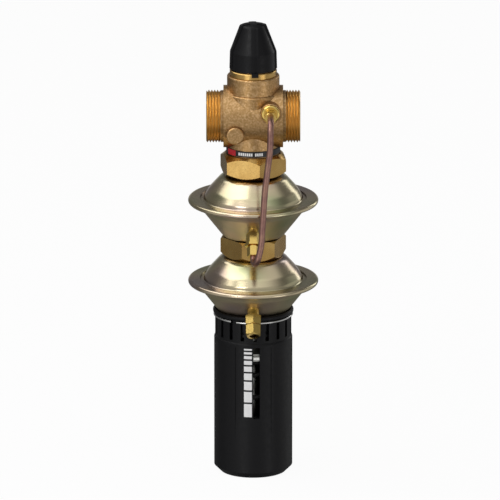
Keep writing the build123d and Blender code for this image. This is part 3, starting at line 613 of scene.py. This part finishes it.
def cap_ribs(material):
    """Ribs on the cap, the first in front, each of two flat ridges."""
    mesh = nodes["restrictor_cap"].data
    places = [vert.co for vert in mesh.vertices]
    skin = BVHTree.FromPolygons(places, [face.vertices for face in mesh.polygons])
    low, high = (corner.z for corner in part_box("restrictor_cap"))
    low += RIB_ABOVE_EDGE
    high -= RIB_BELOW_TOP
    for number in range(CAP_RIBS):
        turn = CAP_TURN + 2 * math.pi * number / CAP_RIBS
        out = Vector((math.sin(turn), -math.cos(turn), 0))
        side = Vector((math.cos(turn), math.sin(turn), 0))
        work = bmesh.new()
        for left, right in RIDGES:
            inner, outer = [], []
            for row in range(RIB_ROWS + 1):
                level = Vector((0, 0, low + (high - low) * row / RIB_ROWS))
                hits = [skin.ray_cast(out + level + across * side, -out)[0] for across in (left, right)]
                front = max(hit.dot(out) for hit in hits) + RIB_HEIGHT
                inner.append([work.verts.new(hit - RIB_ROOT * out) for hit in hits])
                outer.append([work.verts.new(hit + (front - hit.dot(out)) * out) for hit in hits])
            close_sheets(work, inner, outer)
        mesh_piece(f"cap_rib_{number + 1}", work, material, "cap")


def close_sheets(work, inner, outer):
    """Faces over two grids of vertices and between their borders."""
    for grid in (inner, outer):
        for here, there in zip(grid, grid[1:]):
            for index in range(len(here) - 1):
                work.faces.new((here[index], here[index + 1], there[index + 1], there[index]))
    borders = []
    for grid in (inner, outer):
        left = [row[0] for row in grid[1:-1]]
        right = [row[-1] for row in grid[1:-1]]
        borders.append(grid[0] + right + grid[-1][::-1] + left[::-1])
    below, above = borders
    for index in range(len(below)):
        after = (index + 1) % len(below)
        work.faces.new((below[index], below[after], above[after], above[index]))


def wrapped_patch(name, left, right, heights, radii, material, body):
    """A thin sheet wrapped on a round front, between two places across and two heights."""
    work = bmesh.new()
    columns = max(2, math.ceil((right - left) / MM))
    shells = []
    for lift in (-PRINT_LIFT, PRINT_LIFT):
        grid = []
        for height, radius in zip(heights, radii):
            row = []
            for column in range(columns + 1):
                across = left + (right - left) * column / columns
                turn = math.asin(across / radius)
                out = radius + lift
                row.append(work.verts.new((out * math.sin(turn), -out * math.cos(turn), height)))
            grid.append(row)
        shells.append(grid)
    close_sheets(work, *shells)
    mesh_piece(name, work, material, body)


def cap_tab(material):
    """The tab that hangs from the cap's edge, under its front rib."""
    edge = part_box("restrictor_cap")[0].z
    wrapped_patch(
        "cap_tab", TAB_LEFT, TAB_RIGHT, (edge - TAB_HEIGHT, edge + TAB_OVERLAP), (TAB_RADIUS, TAB_RADIUS),
        material, "cap")


def panel_radius(height):
    """The handle's radius on a panel, which fades out towards the foot."""
    fade = min(max((height - PANEL_FADE) / (PANEL_FULL - PANEL_FADE), 0), 1)
    return HANDLE_RADIUS + fade * (PANEL_RADIUS - HANDLE_RADIUS)


def scale_bars(material):
    """The scale's bars on the handle's front panel, from the smallest down."""
    top = BAR_TOP
    for number in range(BAR_COUNT):
        pitch = BAR_FIRST_PITCH * BAR_GROWTH ** number
        low = top - pitch + BAR_GAP
        radii = (panel_radius(low), panel_radius(top))
        wrapped_patch(
            f"scale_bar_{number + 1}", BAR_LEFT, BAR_RIGHT, (low, top), radii,
            material, "handle")
        top -= pitch


def band_print(white, red):
    """The red field and the white dashes on the band."""
    low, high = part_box("label_band")
    radii = (high.x, high.x)
    wrapped_patch(
        "band_field", BAND_RED_LEFT, BAND_RED_RIGHT, (low.z, high.z), radii, red, "valve")
    for number in range(DASH_COUNT):
        if number == DASH_LEFT_OUT:
            continue
        left = DASH_LEFT + number * DASH_PITCH
        wrapped_patch(
            f"band_dash_{number + 1}", left, left + DASH_WIDTH, (low.z + DASH_MARGIN, high.z - DASH_MARGIN),
            radii, white, "valve")


def dress():
    """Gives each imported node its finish, and adds the pieces that only this scene has."""
    looks = finishes()
    for piece in nodes.values():
        slot = piece.data.materials[0].name
        piece.data.materials[0] = looks[slot]
    cast_body()
    cap_ribs(looks["black_plastic"])
    cap_tab(looks["black_plastic"])
    threads = machined_bronze()
    pipe_thread(-1, threads)
    pipe_thread(1, threads)
    # Each spring gets a mesh of its own
    coil, low, high = spring("setting_coil", "setting_spring", SETTING_COIL, looks, "black_steel", "handle")
    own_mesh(coil)
    coil, low, high = spring("flow_coil", "flow_spring", FLOW_COIL, looks, "plain_steel", "valve")
    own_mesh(coil)
    diaphragm("upper_diaphragm", looks)
    diaphragm("lower_diaphragm", looks)
    ink = plain("white_ink", (0.93, 0.93, 0.93), 0.5, 0.0, 0.002 * MM)
    red = plain("red_ink", (0.72, 0.05, 0.12), 0.45, 0.0, 0.002 * MM)
    scale_bars(ink)
    band_print(ink, red)


bpy.context.scene.view_settings.view_transform = "Standard"
photograph_camera()
studio_world()
studio_floor()
for lamp_name, lamp_values in LAMPS.items():
    soft_box(lamp_name, *lamp_values)
dress()
